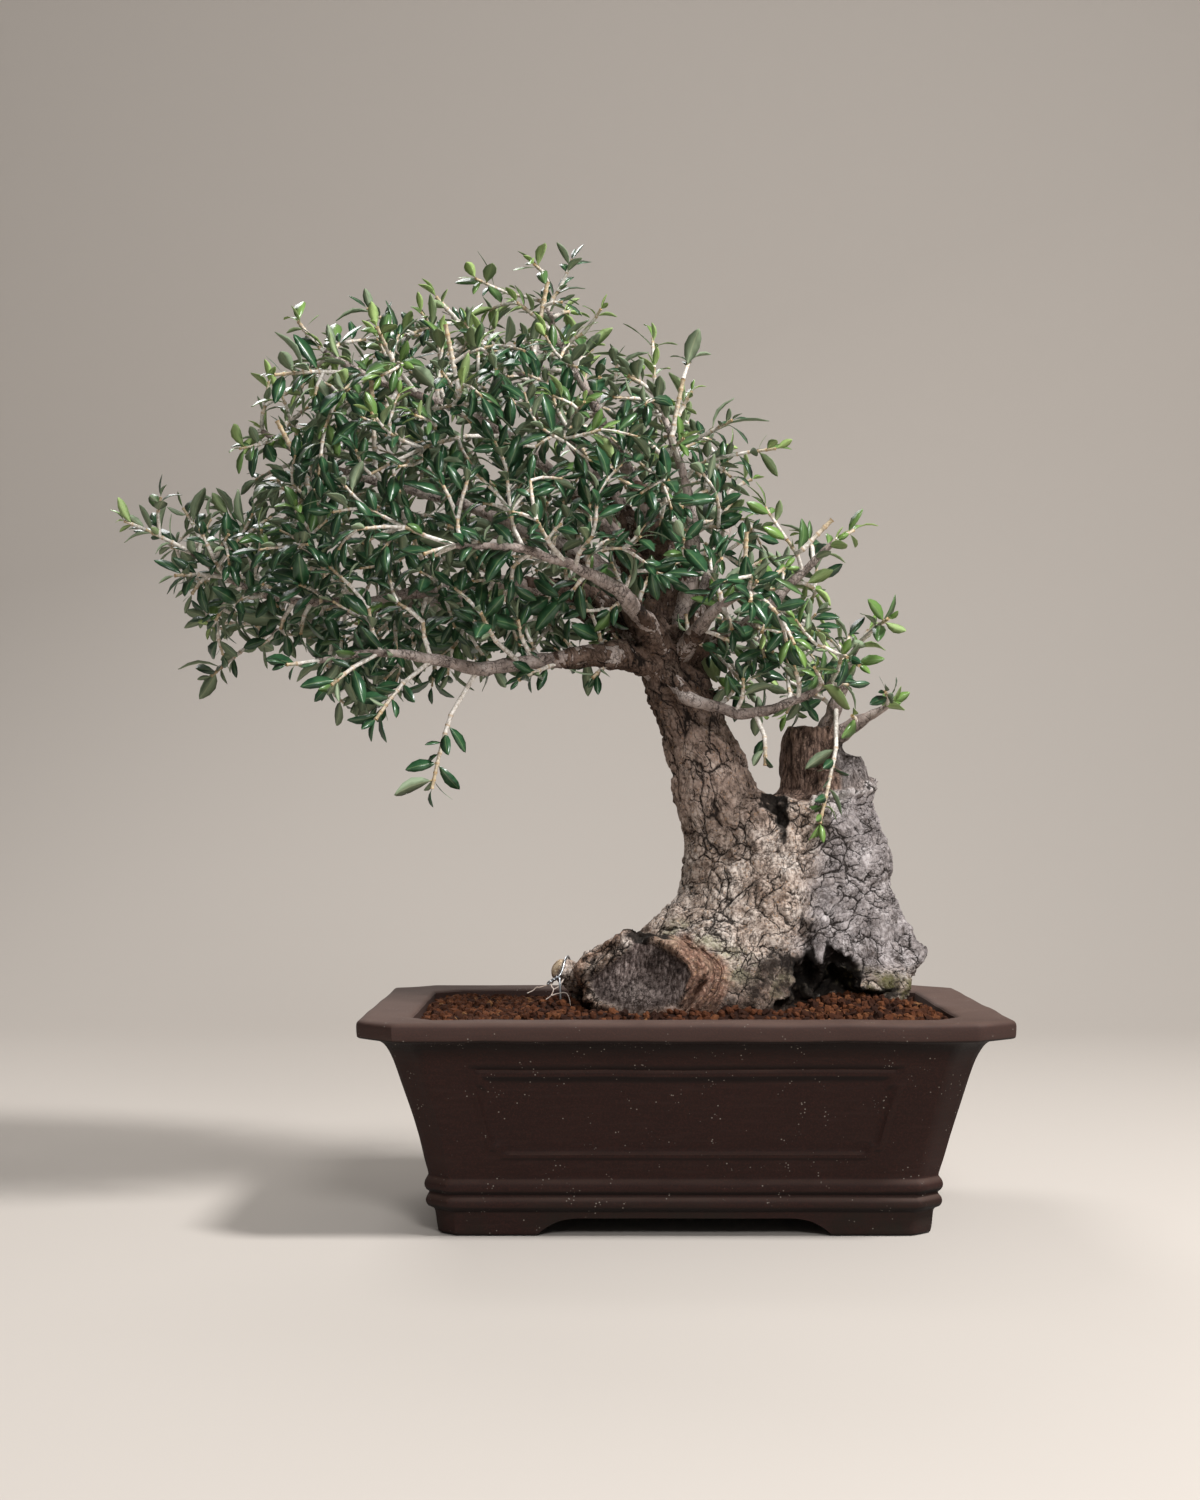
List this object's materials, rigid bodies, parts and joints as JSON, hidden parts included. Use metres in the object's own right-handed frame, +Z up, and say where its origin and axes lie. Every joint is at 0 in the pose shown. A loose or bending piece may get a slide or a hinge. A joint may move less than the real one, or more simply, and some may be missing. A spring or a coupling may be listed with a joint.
{
  "type": "olive bonsai in pot",
  "caption": "Olive bonsai: a stout leaning trunk with an old stump and a windswept leafy crown, in clay granules in a rectangular footed stoneware pot.",
  "frame": {"origin": "middle of the footprint of the whole object, on the plane of the pot's feet", "axes": "+Z up, +Y to the back, +X to the right of a viewer in front; the crown leans to -X"},
  "size_m": [0.5456, 0.3062, 0.607],
  "materials": {
    "stoneware": "matt, unglazed, dark purplish brown with fine pale specks",
    "mesh": "matt black polyethylene",
    "granules": "dusty, dry, reddish-brown fired clay",
    "bark": "rough furrowed bark, pale grey-beige, browner upwards",
    "wire": "satin",
    "leaf": "glossy dark green above, matt grey-green below, on pale grey twigs"
  },
  "bodies": {
    "root": {"pot": "stoneware", "drain_mesh_left": "mesh", "drain_mesh_right": "mesh", "soil": "granules", "trunk": "bark", "tie_wire": "wire", "spray_01": "leaf", "spray_02": "leaf", "spray_03": "leaf", "spray_04": "leaf", "spray_05": "leaf", "spray_06": "leaf", "spray_07": "leaf", "spray_08": "leaf", "spray_09": "leaf", "spray_10": "leaf", "spray_11": "leaf", "spray_12": "leaf", "spray_13": "leaf", "spray_14": "leaf", "spray_15": "leaf", "spray_16": "leaf", "spray_17": "leaf", "spray_18": "leaf", "spray_19": "leaf", "spray_20": "leaf", "spray_21": "leaf", "spray_22": "leaf", "spray_23": "leaf", "spray_24": "leaf", "spray_25": "leaf", "spray_26": "leaf", "spray_27": "leaf", "spray_28": "leaf", "spray_29": "leaf", "spray_30": "leaf", "spray_31": "leaf", "spray_32": "leaf", "spray_33": "leaf", "spray_34": "leaf", "spray_35": "leaf", "spray_36": "leaf", "spray_37": "leaf", "spray_38": "leaf", "spray_39": "leaf", "spray_40": "leaf", "spray_41": "leaf", "spray_42": "leaf", "spray_43": "leaf", "spray_44": "leaf", "spray_45": "leaf", "spray_46": "leaf", "spray_47": "leaf", "spray_48": "leaf", "spray_49": "leaf", "spray_50": "leaf", "spray_51": "leaf", "spray_52": "leaf", "spray_53": "leaf", "spray_54": "leaf"}
  },
  "joints": []
}
